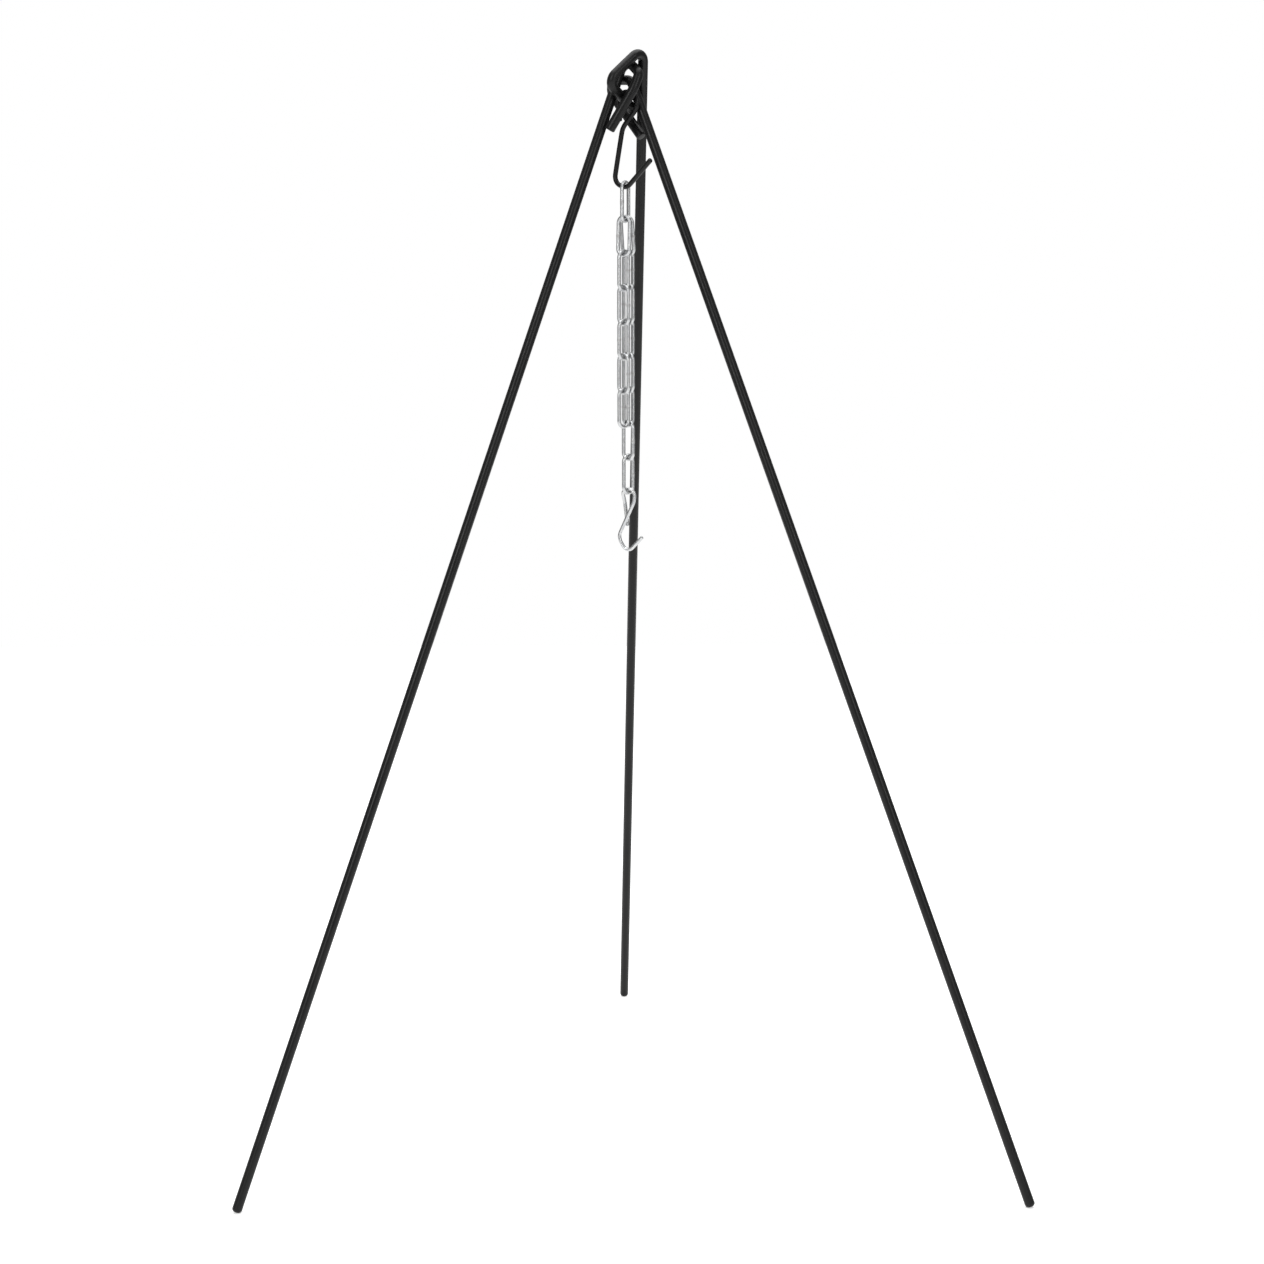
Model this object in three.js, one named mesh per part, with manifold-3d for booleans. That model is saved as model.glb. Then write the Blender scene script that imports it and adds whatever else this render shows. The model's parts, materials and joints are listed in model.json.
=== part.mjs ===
// Campfire tripod: three bent-rod legs whose eyes are threaded together at the head,
// a black S-hook hung in the eyes, a long-link chain with a spare tail, and a pot hook.
// Units are millimetres, +Z is up, and the origin is on the ground, in the middle of the
// outline seen from above. The back leg points to +Y.
import * as THREE from "three";
import { mergeVertices } from "three/addons/utils/BufferGeometryUtils.js";
import Module from "manifold-3d";

const wasm = await Module();
wasm.setup();

// ---- Driving dimensions -------------------------------------------------------------

const ROD_DIAMETER = 8;
const ROD_SIDES = 12;
const FOOT_CIRCLE_RADIUS = 356;
const FOOT_CENTRE_HEIGHT = 0.9;
const HEAD_HEIGHT = 882;
const EYE_BEND_RADIUS = 7;

const TOP_HOOK_WIRE = 4;
const TOP_HOOK_AZIMUTH = -44.6;
const TOP_HOOK_REST = [-3.4, 4.6, 852];
const TOP_HOOK_BEND = 6.9;
const HOOK_SIDES = 10;

const LINK_WIRE = 3;
const LINK_SIDES = 8;
const LINK_WIDTH = 13.5;
const LINK_PITCH = 27.5;
const CONTACT_PLAY = 0.3;
const RUN_LINKS = 8;
const TAIL_LINKS = 6;
const FIRST_LINK_AZIMUTH = 60;
const STRAND_AZIMUTH = 135;
const STRAND_TWIST = 13;
const STRAND_SPACING = 3.3;
const SPREAD_AZIMUTH = 70;
const RUN_LEAN = 5;
const TAIL_LEAN = 1.35;

const POT_HOOK_WIRE = 3;
const POT_HOOK_AZIMUTH = -25;
const POT_HOOK_SIDESTEP = 3.6;

const ARC_STEP = THREE.MathUtils.degToRad(15);
const MERGE_TOLERANCE = 1e-4;

// Each leg: where its axis crosses head height, the side its eye opens to, and the corners of
// its rod in the leg's own plane, the last one being its free end. "along" runs up the leg
// from head height, "across" runs from the leg's axis towards the eye's side.
const LEGS = [
  {
    name: "leg_back",
    azimuth: 90,
    head: [10.0, 4.3],
    eyeSide: -136.5,
    corners: [
      { along: 12.3, across: 0, radius: EYE_BEND_RADIUS },
      { along: -7.7, across: 37.6, radius: EYE_BEND_RADIUS },
      { along: -37.8, across: 8.5 },
    ],
  },
  {
    name: "leg_left",
    azimuth: 210,
    head: [-5.5, 9.8],
    eyeSide: -43.8,
    corners: [
      { along: 4.1, across: 0, radius: EYE_BEND_RADIUS },
      { along: -7.9, across: 21.4, radius: 5.5 },
      { along: -20.3, across: 20.9, radius: 20 },
      { along: -56.8, across: 9.7 },
    ],
  },
  {
    name: "leg_right",
    azimuth: 330,
    head: [-4.3, 11.0],
    eyeSide: 127.4,
    corners: [
      { along: -14.9, across: 0, radius: EYE_BEND_RADIUS },
      { along: -0.4, across: 33.9, radius: 8 },
      { along: -58.5, across: 11.0 },
    ],
  },
];

// Each hook's outline in its own plane, from its upper tip to its lower one: "out" and "up"
// from its rest point, "aside" out of the plane, and the radius each corner is rounded to.
const TOP_HOOK_OUTLINE = [
  { out: -7.1, up: -15.8 },
  { out: -TOP_HOOK_BEND, up: TOP_HOOK_BEND, radius: 6.7 },
  { out: TOP_HOOK_BEND, up: TOP_HOOK_BEND, radius: 6.7 },
  { out: 17.5, up: -0.7, radius: 10 },
  { out: -3.9, up: -21, radius: 14 },
  { out: -13.2, up: -63.5, radius: 7.5 },
  { out: 0.2, up: -68.6, radius: 9 },
  { out: 27.1, up: -46.2 },
];
const POT_HOOK_OUTLINE = [
  { out: -2.2, up: -31, aside: POT_HOOK_SIDESTEP },
  { out: -4.6, up: -12, aside: POT_HOOK_SIDESTEP, radius: 12 },
  { out: -5.6, up: 0, radius: 5 },
  { out: 5.8, up: 0, radius: 5 },
  { out: 5.2, up: -10, radius: 12 },
  { out: -9, up: -40, radius: 9 },
  { out: -1, up: -53, radius: 5 },
  { out: 12.5, up: -39 },
];

// ---- Paths --------------------------------------------------------------------------

// A path through straight stretches and round bends, sampled at its own stations: a straight
// stretch has one step, and a bend has a step every ARC_STEP.
class BentPath extends THREE.Curve {
  constructor(stations) {
    super();
    this.stations = stations;
  }

  getPoint(t, target = new THREE.Vector3()) {
    const place = THREE.MathUtils.clamp(t, 0, 1) * (this.stations.length - 1);
    const index = Math.min(Math.floor(place), this.stations.length - 2);
    return target.lerpVectors(this.stations[index], this.stations[index + 1], place - index);
  }

  getUtoTmapping(u) {
    return u;
  }
}

// Rounds one corner between two straight stretches and returns the points of its arc.
function roundCorner(before, corner, after, radius) {
  const back = before.clone().sub(corner).normalize();
  const ahead = after.clone().sub(corner).normalize();
  const angle = back.angleTo(ahead);
  const tangentLength = radius / Math.tan(angle / 2);
  const bisector = back.clone().add(ahead).normalize();
  const centre = corner.clone().addScaledVector(bisector, radius / Math.sin(angle / 2));
  const start = corner.clone().addScaledVector(back, tangentLength).sub(centre);
  const end = corner.clone().addScaledVector(ahead, tangentLength).sub(centre);
  const axis = start.clone().cross(end).normalize();
  const turn = Math.PI - angle;
  const steps = Math.max(2, Math.ceil(turn / ARC_STEP));
  const points = [];
  for (let step = 0; step <= steps; step += 1) {
    const radial = start.clone().applyAxisAngle(axis, (turn * step) / steps);
    points.push(centre.clone().add(radial));
  }
  return points;
}

// Joins corner points into stations; every inner corner is rounded to its own radius.
function stationsThrough(points, radii) {
  const stations = [points[0]];
  for (let index = 1; index < points.length - 1; index += 1) {
    stations.push(...roundCorner(points[index - 1], points[index], points[index + 1], radii[index]));
  }
  stations.push(points[points.length - 1]);
  return stations;
}

function roundSection(diameter, sides) {
  const points = [];
  for (let side = 0; side < sides; side += 1) {
    const angle = (2 * Math.PI * side) / sides;
    points.push(new THREE.Vector2(Math.cos(angle), Math.sin(angle)).multiplyScalar(diameter / 2));
  }
  return new THREE.Shape(points);
}

function bentRod(stations, diameter, sides) {
  return new THREE.ExtrudeGeometry(roundSection(diameter, sides), {
    steps: stations.length - 1,
    extrudePath: new BentPath(stations),
  });
}

// ---- Solids -------------------------------------------------------------------------

function toSolid(geometry) {
  const bare = geometry.clone();
  bare.deleteAttribute("normal");
  bare.deleteAttribute("uv");
  const merged = mergeVertices(bare, MERGE_TOLERANCE);
  const mesh = new wasm.Mesh({
    numProp: 3,
    vertProperties: new Float32Array(merged.attributes.position.array),
    triVerts: new Uint32Array(merged.index.array),
  });
  return new wasm.Manifold(mesh);
}

function toGeometry(solid) {
  const mesh = solid.getMesh();
  const geometry = new THREE.BufferGeometry();
  geometry.setAttribute("position", new THREE.BufferAttribute(mesh.vertProperties, 3));
  geometry.setIndex(new THREE.BufferAttribute(mesh.triVerts, 1));
  geometry.computeVertexNormals();
  return geometry;
}

// ---- Materials ----------------------------------------------------------------------

function blackPowderCoat() {
  return new THREE.MeshStandardMaterial({ color: 0x1c1c1d, roughness: 0.5, metalness: 0.2 });
}

function zincPlate() {
  return new THREE.MeshStandardMaterial({ color: 0xc9ccce, roughness: 0.3, metalness: 0.95 });
}

// ---- Legs ---------------------------------------------------------------------------

function legStations(leg) {
  const azimuth = THREE.MathUtils.degToRad(leg.azimuth);
  const foot = new THREE.Vector3(Math.cos(azimuth), Math.sin(azimuth), 0);
  foot.multiplyScalar(FOOT_CIRCLE_RADIUS).setZ(FOOT_CENTRE_HEIGHT);
  const head = new THREE.Vector3(leg.head[0], leg.head[1], HEAD_HEIGHT);
  const up = head.clone().sub(foot).normalize();
  const side = THREE.MathUtils.degToRad(leg.eyeSide);
  const across = new THREE.Vector3(Math.cos(side), Math.sin(side), 0).projectOnPlane(up).normalize();
  const corners = leg.corners.map((corner) =>
    head.clone().addScaledVector(up, corner.along).addScaledVector(across, corner.across)
  );
  return stationsThrough([foot, ...corners], [0, ...leg.corners.map((corner) => corner.radius)]);
}

// Everything below the ground, used to dress a small flat on each foot's rim.
function groundBlock() {
  const span = 2 * (FOOT_CIRCLE_RADIUS + ROD_DIAMETER);
  return toSolid(new THREE.BoxGeometry(span, span, ROD_DIAMETER).translate(0, 0, -ROD_DIAMETER / 2));
}

function makeLeg(leg) {
  const rod = toSolid(bentRod(legStations(leg), ROD_DIAMETER, ROD_SIDES));
  return named(leg.name, toGeometry(rod.subtract(groundBlock())), blackPowderCoat());
}

function named(name, geometry, material) {
  const mesh = new THREE.Mesh(geometry, material);
  mesh.name = name;
  return mesh;
}

// ---- Hooks --------------------------------------------------------------------------

// The horizontal direction at an azimuth, in degrees anticlockwise from +X.
function heading(azimuth) {
  const angle = THREE.MathUtils.degToRad(azimuth);
  return new THREE.Vector3(Math.cos(angle), Math.sin(angle), 0);
}

// Places a hook's outline around its rest point, the centre of its upper bend.
function hookStations(rest, azimuth, outline) {
  const out = heading(azimuth);
  const aside = heading(azimuth + 90);
  const points = outline.map((corner) => {
    const point = rest.clone().addScaledVector(out, corner.out).addScaledVector(aside, corner.aside ?? 0);
    return point.setZ(rest.z + corner.up);
  });
  return stationsThrough(points, outline.map((corner) => corner.radius));
}

function lowestStation(stations) {
  return stations.reduce((lowest, point) => (point.z < lowest.z ? point : lowest));
}

function makeHook(name, stations, wire, material) {
  return named(name, bentRod(stations, wire, HOOK_SIDES), material);
}

// ---- Chain --------------------------------------------------------------------------

// A long link lying in the XZ plane with the centre of its top wire at the origin.
function linkGeometry() {
  const radius = (LINK_WIDTH - LINK_WIRE) / 2;
  const height = LINK_PITCH + LINK_WIRE + CONTACT_PLAY;
  const stations = [];
  const arcSteps = Math.round(Math.PI / (2 * ARC_STEP)) * 2;
  for (const [centreZ, first] of [[-radius, 0], [radius - height, Math.PI]]) {
    for (let step = 0; step <= arcSteps; step += 1) {
      const angle = first + (Math.PI * step) / arcSteps;
      stations.push(new THREE.Vector3(radius * Math.cos(angle), 0, centreZ + radius * Math.sin(angle)));
    }
  }
  stations.push(stations[0].clone());
  const path = new BentPath(stations);
  return new THREE.TubeGeometry(path, stations.length - 1, LINK_WIRE / 2, LINK_SIDES, true);
}

// How far a wire that lies beside the lowest point of a link's bend rides above it.
function riseBeside(distance) {
  const radius = (LINK_WIDTH - LINK_WIRE) / 2;
  return radius - Math.sqrt(radius ** 2 - distance ** 2);
}

// Hangs links below a point, each turned a quarter turn from the one above it. The first
// link is twisted a little more and leans by "lean" (a horizontal step over its own pitch),
// and the others hang plumb.
function hangLinks({ prefix, count, top, azimuth, twist = 0, lean = new THREE.Vector3() }) {
  const made = [];
  const place = top.clone();
  for (let index = 0; index < count; index += 1) {
    const step = index === 0 ? lean : new THREE.Vector3();
    const drop = Math.sqrt(LINK_PITCH ** 2 - step.lengthSq());
    const down = step.clone().setZ(-drop).normalize();
    const turn = azimuth + 90 * index + (index === 0 ? twist : 0);
    const out = heading(turn).projectOnPlane(down).normalize();
    const basis = new THREE.Matrix4().makeBasis(out, down.clone().cross(out).negate(), down.clone().negate());
    const number = String(index + 1).padStart(2, "0");
    const link = named(`${prefix}_${number}`, linkGeometry(), zincPlate());
    link.quaternion.setFromRotationMatrix(basis);
    link.position.copy(place);
    made.push(link);
    place.addScaledVector(down, LINK_PITCH);
  }
  return { made, end: place };
}

// ---- Assembly -----------------------------------------------------------------------

const group = new THREE.Group();
for (const leg of LEGS) {
  group.add(makeLeg(leg));
}

// The black hook sits over the back leg's eye with its upper bend, and carries the chain in
// its lower one.
const topHookRest = new THREE.Vector3(...TOP_HOOK_REST);
const topHook = hookStations(topHookRest, TOP_HOOK_AZIMUTH, TOP_HOOK_OUTLINE);
group.add(makeHook("top_hook", topHook, TOP_HOOK_WIRE, blackPowderCoat()));

const firstTop = lowestStation(topHook).clone();
firstTop.z += (TOP_HOOK_WIRE + LINK_WIRE) / 2 + CONTACT_PLAY;
const first = hangLinks({ prefix: "chain_link", count: 1, top: firstTop, azimuth: FIRST_LINK_AZIMUTH });
group.add(...first.made);

// Two strands hang side by side in the first link's lower bend: the run, which carries the
// pot hook, and the spare tail.
const strands = [
  { prefix: "run_link", count: RUN_LINKS, beside: STRAND_SPACING / 2, lean: RUN_LEAN },
  { prefix: "tail_link", count: TAIL_LINKS, beside: -STRAND_SPACING / 2, lean: -TAIL_LEAN },
];
const ends = strands.map(({ prefix, count, beside, lean }) => {
  const top = first.end.clone().addScaledVector(heading(FIRST_LINK_AZIMUTH), beside);
  top.z += riseBeside(beside) + CONTACT_PLAY;
  const strand = hangLinks({
    prefix,
    count,
    top,
    azimuth: STRAND_AZIMUTH,
    twist: STRAND_TWIST,
    lean: heading(SPREAD_AZIMUTH).multiplyScalar(lean),
  });
  group.add(...strand.made);
  return strand.end;
});

// The pot hook hangs in the run's lowest link, and its upper bend closes behind the shank.
const potHook = hookStations(ends[0], POT_HOOK_AZIMUTH, POT_HOOK_OUTLINE);
group.add(makeHook("pot_hook", potHook, POT_HOOK_WIRE, zincPlate()));

// The origin goes to the middle of the whole outline, on the ground.
const outline = new THREE.Box3().setFromObject(group, true);
const middle = outline.getCenter(new THREE.Vector3());
group.position.set(-middle.x, -middle.y, -outline.min.z);

export default group;
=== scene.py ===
import json
import math

import bpy
import numpy as np
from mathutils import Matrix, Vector
from mathutils.kdtree import KDTree


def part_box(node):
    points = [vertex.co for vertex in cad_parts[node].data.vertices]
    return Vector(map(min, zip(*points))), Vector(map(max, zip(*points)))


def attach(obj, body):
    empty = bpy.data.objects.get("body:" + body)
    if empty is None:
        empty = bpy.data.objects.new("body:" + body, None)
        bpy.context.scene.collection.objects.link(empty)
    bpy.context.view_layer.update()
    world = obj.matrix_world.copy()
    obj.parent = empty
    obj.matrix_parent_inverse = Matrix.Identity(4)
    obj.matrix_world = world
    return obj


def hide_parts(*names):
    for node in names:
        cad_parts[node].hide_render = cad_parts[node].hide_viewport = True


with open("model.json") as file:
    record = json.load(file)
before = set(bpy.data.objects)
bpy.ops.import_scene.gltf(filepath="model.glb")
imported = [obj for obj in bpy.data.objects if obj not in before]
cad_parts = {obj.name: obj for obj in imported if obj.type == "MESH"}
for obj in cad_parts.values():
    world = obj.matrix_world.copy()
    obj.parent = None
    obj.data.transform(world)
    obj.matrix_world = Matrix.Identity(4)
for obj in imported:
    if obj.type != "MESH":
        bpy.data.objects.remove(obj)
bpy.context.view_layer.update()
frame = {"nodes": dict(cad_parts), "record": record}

# ---- Driving values, in metres and degrees --------------------------------------------

ROD_RADIUS = 0.004
ROD_SIDES = 40
ROD_CAD_SIDES = 12
TOP_HOOK_RADIUS = 0.002
WIRE_RADIUS = 0.0015
WIRE_SIDES = 24
HOOK_CAD_SIDES = 10

# The radius that each cut end's edge is rounded to.
FOOT_RIM = 0.0027
EYE_END_RIM = 0.0014
TOP_HOOK_RIM = 0.0012
POT_HOOK_RIM = 0.0006
RIM_STEPS = 7
RIM_CLEARANCE = 1.05

# How finely a rod's centre line is sampled, and how much its round section narrows across a
# bend's inside and outside.
BEND_STEPS = 6
STRAIGHT_STEP = 0.004
STRAIGHT_TURN = math.radians(1)
BEND_SQUEEZE = 0.04
BEND_BLUR = 5
NEARLY_PARALLEL = 0.1

LINK_ARC_STEPS = 20
LINK_SIDE_STEP = 0.0006
WELD_LENGTH = 0.0013
WELD_BULGE = 0.00016

# The widest gap between two pieces at which they still show rubbing on the coat and painted shade
# on the zinc.
RUB_AND_SHADE_REACH = 0.0022

CAMERA_DISTANCE = 1.972
CAMERA_HEIGHT = 0.755
CAMERA_TURN = 1.04
CAMERA_PITCH = 9.34
LENS = 69.44
SENSOR = 36.0
SHIFT = (0.00127, -0.00498)

LEGS = ("leg_back", "leg_left", "leg_right")
HOOKS = (
    ("top_hook", TOP_HOOK_RADIUS, TOP_HOOK_RIM),
    ("pot_hook", WIRE_RADIUS, POT_HOOK_RIM),
)
LINKS = sorted(name for name in frame["nodes"] if "_link_" in name)

# The tripod's own axis stands over the middle of its three feet.
feet = [Vector(mount["pos_m"]) for mount in frame["record"]["mounts"]]
stand_axis = sum(feet, Vector()) / len(feet)


# ---- Camera ---------------------------------------------------------------------------

def make_camera():
    data = bpy.data.cameras.new("camera")
    data.lens = LENS
    data.sensor_width = SENSOR
    data.shift_x, data.shift_y = SHIFT
    camera = bpy.data.objects.new("camera", data)
    bpy.context.scene.collection.objects.link(camera)
    turn = math.radians(CAMERA_TURN)
    away = Vector((-math.sin(turn), -math.cos(turn), 0)) * CAMERA_DISTANCE
    camera.location = stand_axis + away + Vector((0, 0, CAMERA_HEIGHT))
    camera.rotation_euler = (math.radians(90 - CAMERA_PITCH), 0, -turn)
    bpy.context.scene.camera = camera


# ---- Centre lines, read from the CAD solids -------------------------------------------

# The walk starts at an end face, found among faces that aren't slivers: the corners within
# reach of its middle that lie flat in its plane.
SLIVER_AREA = 1e-7
SECTION_REACH = 0.0085
FLATNESS = 2e-5


def merged(node):
    """The node's distinct corners and, for each corner, the corners it shares an edge with."""
    mesh = frame["nodes"][node].data
    places = {}
    corners = []
    index_of = []
    for vertex in mesh.vertices:
        key = tuple(round(value, 6) for value in vertex.co)
        if key not in places:
            places[key] = len(corners)
            corners.append(vertex.co.copy())
        index_of.append(places[key])
    near = [set() for _ in corners]
    for edge in mesh.edges:
        a, b = (index_of[i] for i in edge.vertices)
        near[a].add(b)
        near[b].add(a)
    return corners, near


def end_ring(node, corners, sides):
    """The corners of the highest flat end face: a face whose plane holds one whole section."""
    found = []
    for face in frame["nodes"][node].data.polygons:
        if face.area < SLIVER_AREA:
            continue
        flat = {
            index
            for index, corner in enumerate(corners)
            if (corner - face.center).length < SECTION_REACH
            and abs((corner - face.center).dot(face.normal)) < FLATNESS
        }
        if len(flat) == sides:
            found.append(flat)
    return max(found, key=lambda ring: max(corners[i].z for i in ring))


def plane_normal(points):
    """The unit normal of the plane that a ring of points lies in."""
    spread = np.array(points) - np.mean(points, axis=0)
    return Vector(np.linalg.svd(spread)[2][2])


def centre_line(node, sides):
    """Walks a bent rod ring by ring from its upper end: each ring's middle and direction."""
    corners, near = merged(node)
    ring = end_ring(node, corners, sides)
    seen = set(ring)
    middles = []
    directions = []
    while len(ring) == sides:
        middles.append(sum((corners[i] for i in ring), Vector()) / sides)
        directions.append(plane_normal([corners[i] for i in ring]))
        ring = {other for i in ring for other in near[i]} - seen
        seen |= ring
    for index in range(len(middles)):
        ahead = middles[min(index + 1, len(middles) - 1)] - middles[max(index - 1, 0)]
        if directions[index].dot(ahead) < 0:
            directions[index].negate()
    return middles, directions


def leg_line(node):
    """A leg's centre line, run down to where the foot's rounded rim touches the ground."""
    middles, directions = centre_line(node, ROD_CAD_SIDES)
    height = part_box(node)[1].z
    kept = [index for index, middle in enumerate(middles) if middle.z > height / 2]
    middles = [middles[index] for index in kept]
    directions = [directions[index] for index in kept]
    down = directions[-1]
    lean = math.acos(-down.z)
    foot_height = FOOT_RIM + (ROD_RADIUS - FOOT_RIM) * math.sin(lean) - FOOT_RIM * math.cos(lean)
    middles.append(middles[-1] + down * ((foot_height - middles[-1].z) / down.z))
    directions.append(down)
    return middles, directions


# ---- Sweeps ---------------------------------------------------------------------------

def refine(middles, directions):
    """Samples a centre line finely: round bends as arcs, straight stretches in even steps.
    Each span is a Hermite curve whose pull makes it follow the arc between its two ends.
    Returns the points, their directions, and the bend vector that the section is squeezed by."""
    points = []
    tangents = []
    bends = []
    for index in range(len(middles) - 1):
        start, end = middles[index], middles[index + 1]
        first, last = directions[index], directions[index + 1]
        chord = (end - start).length
        turn = first.angle(last)
        straight = turn < STRAIGHT_TURN
        steps = max(1, round(chord / STRAIGHT_STEP)) if straight else BEND_STEPS
        pull = chord / math.cos(turn / 4) ** 2
        bend = Vector() if straight else (last - first).normalized()
        for step in range(steps):
            t = step / steps
            points.append(
                start * (2 * t**3 - 3 * t**2 + 1)
                + first * pull * (t**3 - 2 * t**2 + t)
                + end * (3 * t**2 - 2 * t**3)
                + last * pull * (t**3 - t**2)
            )
            tangents.append(first.lerp(last, t).normalized())
            bends.append(bend)
    points.append(middles[-1])
    tangents.append(directions[-1])
    bends.append(Vector())
    blur = np.ones(BEND_BLUR) / BEND_BLUR
    padded = np.pad(np.array(bends), ((BEND_BLUR // 2, BEND_BLUR // 2), (0, 0)), mode="edge")
    smooth = np.stack([np.convolve(padded[:, axis], blur, "valid") for axis in range(3)], axis=1)
    return np.array(points), np.array(tangents), smooth


def carried_normals(tangents):
    """Carries one normal along the path without twist."""
    start = np.cross(tangents[0], (0.0, 0.0, 1.0))
    if np.linalg.norm(start) < NEARLY_PARALLEL:
        start = np.cross(tangents[0], (1.0, 0.0, 0.0))
    normals = [start / np.linalg.norm(start)]
    for tangent in tangents[1:]:
        normal = normals[-1] - tangent * normals[-1].dot(tangent)
        normals.append(normal / np.linalg.norm(normal))
    return np.array(normals)


def with_rims(points, tangents, bends, radius, rims):
    """Adds the rounded rims at both ends and returns the points, directions, bends and radii."""
    along = np.concatenate([[0], np.cumsum(np.linalg.norm(np.diff(points, axis=0), axis=1))])
    first, last = (rim * RIM_CLEARANCE for rim in rims)
    inside = (along > first) & (along < along[-1] - last)
    angles = np.linspace(math.pi / 2, 0, RIM_STEPS)
    head = [points[0] + tangents[0] * rims[0] * (1 - math.sin(a)) for a in angles]
    tail = [points[-1] - tangents[-1] * rims[1] * (1 - math.sin(a)) for a in angles[::-1]]
    head_radii = [radius - rims[0] * (1 - math.cos(a)) for a in angles]
    tail_radii = [radius - rims[1] * (1 - math.cos(a)) for a in angles[::-1]]
    none = np.zeros((RIM_STEPS, 3))
    return (
        np.concatenate([head, points[inside], tail]),
        np.concatenate([[tangents[0]] * RIM_STEPS, tangents[inside], [tangents[-1]] * RIM_STEPS]),
        np.concatenate([none, bends[inside], none]),
        np.concatenate([head_radii, np.full(inside.sum(), radius), tail_radii]),
    )


def tube(name, points, normals, sidewards, radii, sides, bends=None, closed=False):
    """A round tube through the points. An open tube gets a flat face at each end."""
    angles = np.arange(sides) * 2 * math.pi / sides
    around = (
        normals[:, None] * np.cos(angles)[:, None]
        + sidewards[:, None] * np.sin(angles)[:, None]
    )
    around = around * radii[:, None, None]
    if bends is not None:
        across = (around * bends[:, None]).sum(axis=2, keepdims=True)
        around = around - BEND_SQUEEZE * across * bends[:, None]
    corners = (points[:, None] + around).reshape(-1, 3)
    count = len(points)
    faces = []
    for ring in range(count if closed else count - 1):
        this, following = ring * sides, (ring + 1) % count * sides
        for side in range(sides):
            after = (side + 1) % sides
            faces.append((this + side, this + after, following + after, following + side))
    if not closed:
        faces.append(tuple(reversed(range(sides))))
        faces.append(tuple((count - 1) * sides + side for side in range(sides)))
    mesh = bpy.data.meshes.new(name)
    mesh.from_pydata(corners.tolist(), [], faces)
    mesh.validate()
    mesh.polygons.foreach_set("use_smooth", [True] * len(mesh.polygons))
    piece = bpy.data.objects.new(name, mesh)
    bpy.context.scene.collection.objects.link(piece)
    return piece


def bent_rod(name, line, radius, sides, rims):
    """A rod swept along a centre line. Returns the piece and the points of that line."""
    middles, tangents, bends = refine(*line)
    points, tangents, bends, radii = with_rims(middles, tangents, bends, radius, rims)
    normals = carried_normals(tangents)
    rod = tube(name, points, normals, np.cross(tangents, normals), radii, sides, bends)
    return rod, middles


# ---- Chain links ----------------------------------------------------------------------

def link_axes(node):
    """A link's middle, its length and width directions, and half its size along each of them."""
    corners = np.array(merged(node)[0])
    middle = corners.mean(axis=0)
    axes = np.linalg.svd(corners - middle)[2]
    length, width = axes[0], axes[1]
    length = length if length[2] < 0 else -length
    width = width if width[0] > 0 else -width
    reach = [np.ptp((corners - middle) @ axis) / 2 for axis in (length, width)]
    return middle, length, width, reach


def chain_link(node, weld_side):
    """A round-ended link of round wire, with a small weld bead halfway down one side.
    Returns the piece and the points of its centre line."""
    middle, length, width, (half_length, half_width) = link_axes(node)
    radius = half_width - WIRE_RADIUS
    half_straight = half_length - WIRE_RADIUS - radius
    flat = []
    steps = round(2 * half_straight / LINK_SIDE_STEP)
    for end in (1, -1):
        for step in range(LINK_ARC_STEPS):
            angle = math.pi * step / LINK_ARC_STEPS
            reach = half_straight + radius * math.sin(angle)
            flat.append((end * reach, end * radius * math.cos(angle)))
        for step in range(steps):
            flat.append((end * half_straight * (1 - 2 * step / steps), -end * radius))
    flat = np.array(flat)
    points = middle + flat[:, :1] * length + flat[:, 1:] * width
    outward = flat - np.clip(flat[:, :1], -half_straight, half_straight) * [1, 0]
    outward = outward / np.linalg.norm(outward, axis=1, keepdims=True)
    normals = outward[:, :1] * length + outward[:, 1:] * width
    sidewards = np.tile(np.cross(length, width), (len(points), 1))
    on_side = np.sign(flat[:, 1]) == weld_side
    bead = np.exp(-((flat[:, 0] / WELD_LENGTH) ** 2)) * on_side
    radii = WIRE_RADIUS + WELD_BULGE * bead
    piece = tube(f"{node}_wire", points, normals, sidewards, radii, WIRE_SIDES, closed=True)
    paint(piece, "weld", np.repeat(bead, WIRE_SIDES))
    return piece, points


# ---- Attributes that the materials read -----------------------------------------------

def paint(piece, name, values):
    attribute = piece.data.attributes.new(name, "FLOAT", "POINT")
    attribute.data.foreach_set("value", np.asarray(values, np.float32))


def rub_and_shade(pieces):
    """Marks where pieces nearly touch, from 0 to 1: polish and wear on the black coat, painted
    shade between the zinc links.
    """
    for name, (piece, _, _) in pieces.items():
        others = [entry for key, entry in pieces.items() if key != name]
        total = sum(len(line) for _, line, _ in others)
        tree = KDTree(total)
        radii = []
        for _, line, radius in others:
            for point in line:
                tree.insert(point, len(radii))
                radii.append(radius)
        tree.balance()
        values = []
        for vertex in piece.data.vertices:
            _, index, distance = tree.find(vertex.co)
            gap = distance - radii[index]
            values.append(max(0.0, 1 - gap / RUB_AND_SHADE_REACH))
        paint(piece, "rub_and_shade", values)


# ---- Materials ------------------------------------------------------------------------

COAT_DEEP = (0.0036, 0.0036, 0.0039)
COAT_CLOUDY = (0.0066, 0.0065, 0.0063)
COAT_DUST = (0.05, 0.05, 0.049)
BARE_STEEL = (0.11, 0.107, 0.104)

ZINC_COOL = (0.46, 0.47, 0.48)
ZINC_WARM = (0.54, 0.54, 0.53)
ZINC_CLOUD = (0.38, 0.39, 0.41)
ZINC_SCORCHED = (0.36, 0.355, 0.35)
# The dark grey of painted shade, laid on the zinc where links nearly touch.
ZINC_CONTACT_SHADE = (0.20, 0.205, 0.21)

FLOOR_TONES = ((0.86, 0.86, 0.86), (0.88, 0.88, 0.88))
WHITE = (1.0, 1.0, 1.0, 1.0)


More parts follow.
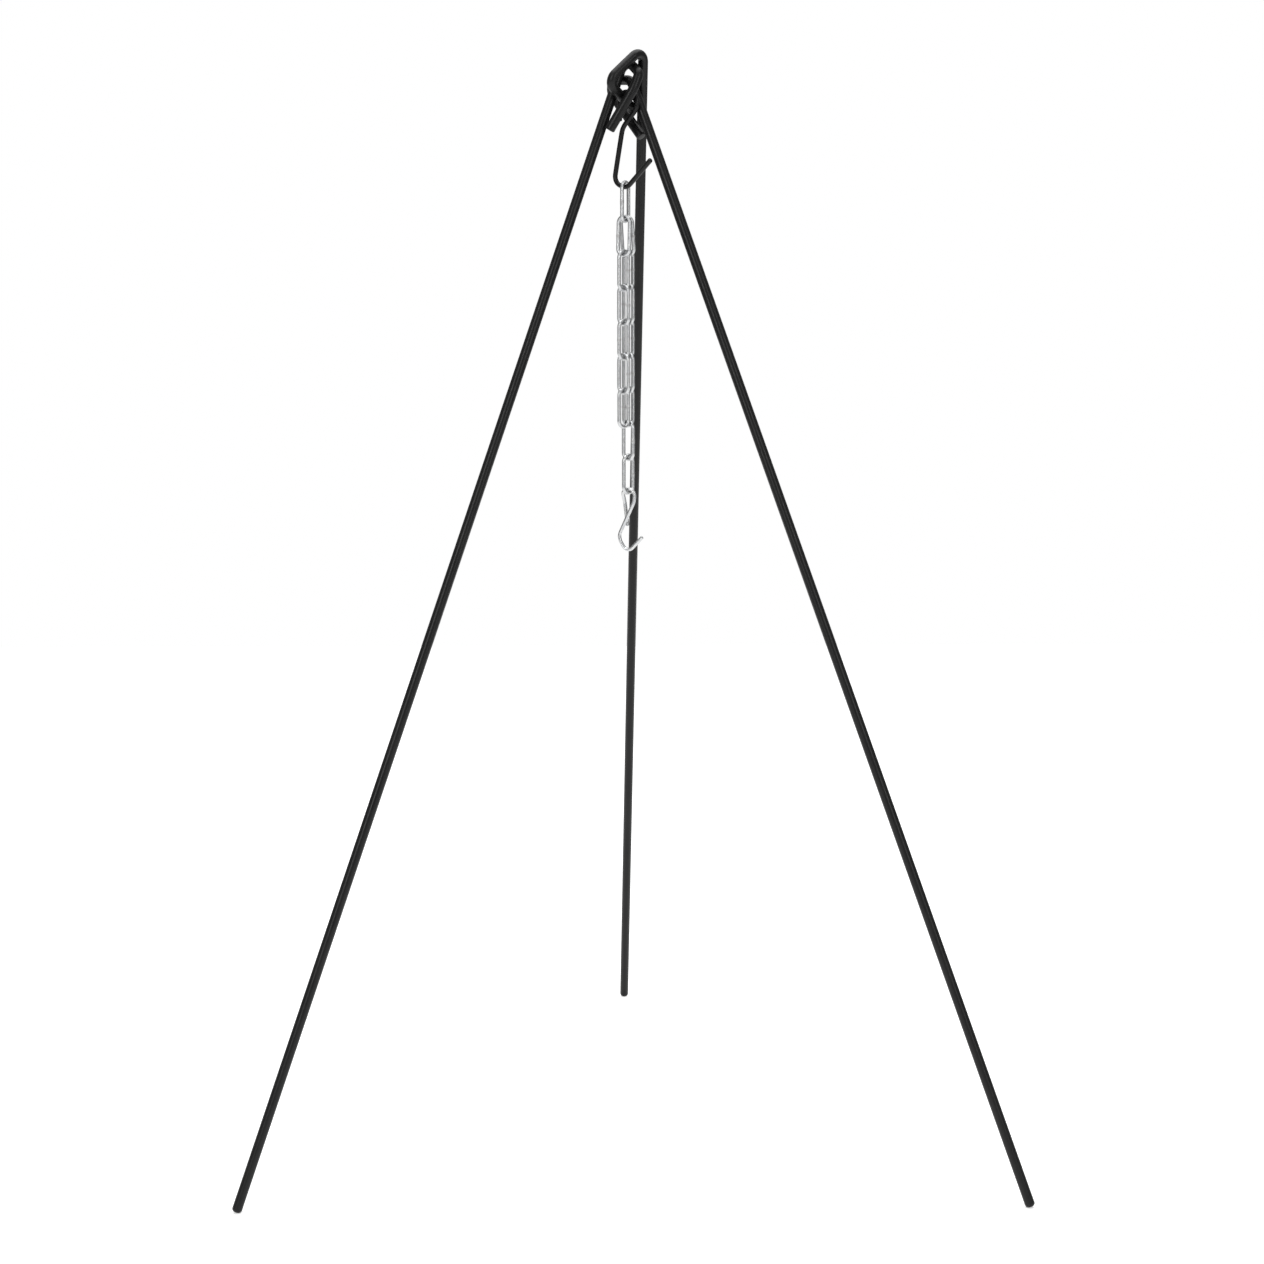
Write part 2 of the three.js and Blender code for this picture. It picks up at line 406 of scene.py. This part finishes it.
class Shader:
    """A small helper that adds and links nodes of one material."""

    def __init__(self, name):
        self.material = bpy.data.materials.new(name)
        self.material.use_nodes = True
        self.nodes = self.material.node_tree.nodes
        self.links = self.material.node_tree.links
        self.surface = self.nodes["Principled BSDF"]
        self.place = self.nodes.new("ShaderNodeTexCoord").outputs["Object"]

    def link(self, source, target):
        self.links.new(source, target)

    def noise(self, scale, detail=2.0, roughness=0.5):
        node = self.nodes.new("ShaderNodeTexNoise")
        node.inputs["Scale"].default_value = scale
        node.inputs["Detail"].default_value = detail
        node.inputs["Roughness"].default_value = roughness
        self.link(self.place, node.inputs["Vector"])
        return node.outputs["Fac"]

    def cells(self, scale):
        node = self.nodes.new("ShaderNodeTexVoronoi")
        node.inputs["Scale"].default_value = scale
        self.link(self.place, node.inputs["Vector"])
        return node.outputs["Color"]

    def attribute(self, name):
        node = self.nodes.new("ShaderNodeAttribute")
        node.attribute_name = name
        return node.outputs["Fac"]

    def spread(self, source, low, high, from_low=0.3, from_high=0.7):
        node = self.nodes.new("ShaderNodeMapRange")
        node.inputs["From Min"].default_value = from_low
        node.inputs["From Max"].default_value = from_high
        node.inputs["To Min"].default_value = low
        node.inputs["To Max"].default_value = high
        self.link(source, node.inputs["Value"])
        return node.outputs["Result"]

    def math(self, operation, a, b):
        node = self.nodes.new("ShaderNodeMath")
        node.operation = operation
        for socket, value in zip(node.inputs, (a, b)):
            if isinstance(value, (int, float)):
                socket.default_value = value
            else:
                self.link(value, socket)
        return node.outputs["Value"]

    def mix(self, factor, a, b):
        node = self.nodes.new("ShaderNodeMix")
        node.data_type = "RGBA"
        self.link(factor, node.inputs["Factor"])
        for socket, value in ((node.inputs["A"], a), (node.inputs["B"], b)):
            if isinstance(value, tuple):
                socket.default_value = (*value, 1.0)
            else:
                self.link(value, socket)
        return node.outputs["Result"]

    def bump(self, heights):
        """Stacks bumps, each a (height, strength, distance)."""
        normal = None
        for height, strength, distance in heights:
            node = self.nodes.new("ShaderNodeBump")
            node.inputs["Strength"].default_value = strength
            node.inputs["Distance"].default_value = distance
            self.link(height, node.inputs["Height"])
            if normal is not None:
                self.link(normal, node.inputs["Normal"])
            normal = node.outputs["Normal"]
        self.link(normal, self.surface.inputs["Normal"])


def powder_coat():
    """Satin black powder coat: fine orange peel, cloudy gloss, and bare steel where rods wear
    against each other.
    """
    shader = Shader("black_powder_coat")
    cloud = shader.spread(shader.noise(38.0, 3.0), 0.0, 1.0)
    colour = shader.mix(cloud, COAT_DEEP, COAT_CLOUDY)
    dust = shader.spread(shader.noise(2600.0, 2.0), 0.0, 0.35, 0.66, 0.74)
    colour = shader.mix(dust, colour, COAT_DUST)
    patches = shader.spread(shader.noise(420.0, 4.0), 0.4, 1.3)
    patchy = shader.math("MULTIPLY", shader.attribute("rub_and_shade"), patches)
    bare = shader.spread(patchy, 0.0, 1.0, 0.72, 0.95)
    colour = shader.mix(bare, colour, BARE_STEEL)
    shader.link(colour, shader.surface.inputs["Base Color"])
    gloss = shader.spread(shader.noise(140.0, 3.0), 0.30, 0.40)
    polish = shader.math("MULTIPLY", patchy, 0.10)
    shader.link(shader.math("SUBTRACT", gloss, polish), shader.surface.inputs["Roughness"])
    shader.link(shader.math("MULTIPLY", bare, 0.8), shader.surface.inputs["Metallic"])
    shader.surface.inputs["Specular IOR Level"].default_value = 0.2
    shader.bump([
        (shader.noise(900.0, 1.0), 0.12, 0.00006),
        (shader.noise(260.0, 2.0), 0.12, 0.00008),
    ])
    return shader.material


def zinc():
    """Bright zinc plate: faint cloudy crystals, painted shade where links nearly touch, dull at
    the weld.
    """
    shader = Shader("zinc_plate")
    grain = shader.spread(shader.cells(700.0), 0.0, 1.0, 0.0, 1.0)
    colour = shader.mix(grain, ZINC_COOL, ZINC_WARM)
    cloud = shader.spread(shader.noise(120.0, 4.0), 0.0, 0.5)
    colour = shader.mix(cloud, colour, ZINC_CLOUD)
    weld = shader.attribute("weld")
    scorched = shader.math("MULTIPLY", weld, shader.spread(shader.noise(900.0, 3.0), 0.5, 1.0))
    colour = shader.mix(scorched, colour, ZINC_SCORCHED)
    # Painted shade: the zinc turns a patchy dark grey where it nearly touches another piece,
    # standing in for the shade between links.
    shade_patches = shader.spread(shader.noise(700.0, 3.0), 0.2, 0.8)
    contact_shade = shader.math("MULTIPLY", shader.attribute("rub_and_shade"), shade_patches)
    colour = shader.mix(contact_shade, colour, ZINC_CONTACT_SHADE)
    shader.link(colour, shader.surface.inputs["Base Color"])
    shader.surface.inputs["Metallic"].default_value = 1.0
    gloss = shader.spread(shader.noise(320.0, 2.0), 0.28, 0.40)
    dull = shader.math("MULTIPLY", scorched, 0.35)
    shader.link(shader.math("ADD", gloss, dull), shader.surface.inputs["Roughness"])
    shader.bump([
        (shader.noise(1500.0, 1.0), 0.06, 0.00004),
        (shader.noise(400.0, 2.0), 0.14, 0.00006),
    ])
    return shader.material


def floor_paint():
    """Matt near-white paint that glows a little, so that the floor meets a white background."""
    shader = Shader("studio_floor")
    tone = shader.spread(shader.noise(1.5, 2.0), 0.0, 1.0)
    colour = shader.mix(tone, *FLOOR_TONES)
    shader.link(colour, shader.surface.inputs["Base Color"])
    shader.surface.inputs["Roughness"].default_value = 0.9
    shader.surface.inputs["Emission Color"].default_value = WHITE
    shader.surface.inputs["Emission Strength"].default_value = FLOOR_GLOW
    return shader.material


# ---- Studio ---------------------------------------------------------------------------

FLOOR_SIZE = 4.6
FLOOR_GLOW = 0.45

# The world is white where the camera sees it and dimmer as a light.
WORLD_SEEN = 1.0
WORLD_LIGHT = 0.35

SOFTBOXES = (
    {"name": "front_left", "place": (-1.5, -2.3, 1.5), "size": (0.5, 1.8), "power": 30.0},
    {"name": "front_right", "place": (1.5, -2.2, 1.4), "size": (0.5, 1.8), "power": 20.0},
    {"name": "overhead", "place": (0.0, 0.2, 3.4), "size": (3.4, 3.4), "power": 120.0},
)
AIM_HEIGHT = 0.5


def make_floor():
    half = FLOOR_SIZE / 2
    mesh = bpy.data.meshes.new("floor")
    corners = [(-half, -half, 0), (half, -half, 0), (half, half, 0), (-half, half, 0)]
    mesh.from_pydata(corners, [], [(0, 1, 2, 3)])
    floor = bpy.data.objects.new("floor", mesh)
    bpy.context.scene.collection.objects.link(floor)
    mesh.materials.append(floor_paint())


def make_world():
    world = bpy.data.worlds.new("studio")
    bpy.context.scene.world = world
    world.use_nodes = True
    nodes = world.node_tree.nodes
    links = world.node_tree.links
    background = nodes["Background"]
    background.inputs["Color"].default_value = WHITE
    path = nodes.new("ShaderNodeLightPath")
    strength = nodes.new("ShaderNodeMapRange")
    strength.inputs["To Min"].default_value = WORLD_LIGHT
    strength.inputs["To Max"].default_value = WORLD_SEEN
    links.new(path.outputs["Is Camera Ray"], strength.inputs["Value"])
    links.new(strength.outputs["Result"], background.inputs["Strength"])


def make_softbox(name, place, size, power):
    data = bpy.data.lights.new(name, "AREA")
    data.shape = "RECTANGLE"
    data.size, data.size_y = size
    data.energy = power
    lamp = bpy.data.objects.new(name, data)
    bpy.context.scene.collection.objects.link(lamp)
    lamp.location = stand_axis + Vector(place)
    aim = stand_axis + Vector((0, 0, AIM_HEIGHT)) - lamp.location
    lamp.rotation_euler = aim.to_track_quat("-Z", "Y").to_euler()


# ---- Assembly -------------------------------------------------------------------------

def fit(piece, node, material):
    """The piece stands for the CAD node, moves with its body and wears its slot's finish."""
    piece.data.materials.append(material)
    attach(piece, node)
    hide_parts(node)


make_camera()
make_world()
make_floor()
for softbox in SOFTBOXES:
    make_softbox(**softbox)

black = powder_coat()
silver = zinc()
bpy.context.scene.view_settings.view_transform = "Standard"

# Each node's piece, the points of its centre line and its wire's radius.
pieces = {}
for leg in LEGS:
    rims = (EYE_END_RIM, FOOT_RIM)
    rod, points = bent_rod(f"{leg}_rod", leg_line(leg), ROD_RADIUS, ROD_SIDES, rims)
    pieces[leg] = (rod, points, ROD_RADIUS)

for hook, radius, rim in HOOKS:
    line = centre_line(hook, HOOK_CAD_SIDES)
    wire, points = bent_rod(f"{hook}_wire", line, radius, WIRE_SIDES, (rim, rim))
    pieces[hook] = (wire, points, radius)

for number, node in enumerate(LINKS):
    link, points = chain_link(node, 1 if number % 3 else -1)
    pieces[node] = (link, points, WIRE_RADIUS)

rub_and_shade(pieces)
for node, (piece, _, _) in pieces.items():
    coated = node in LEGS or node == "top_hook"
    fit(piece, node, black if coated else silver)
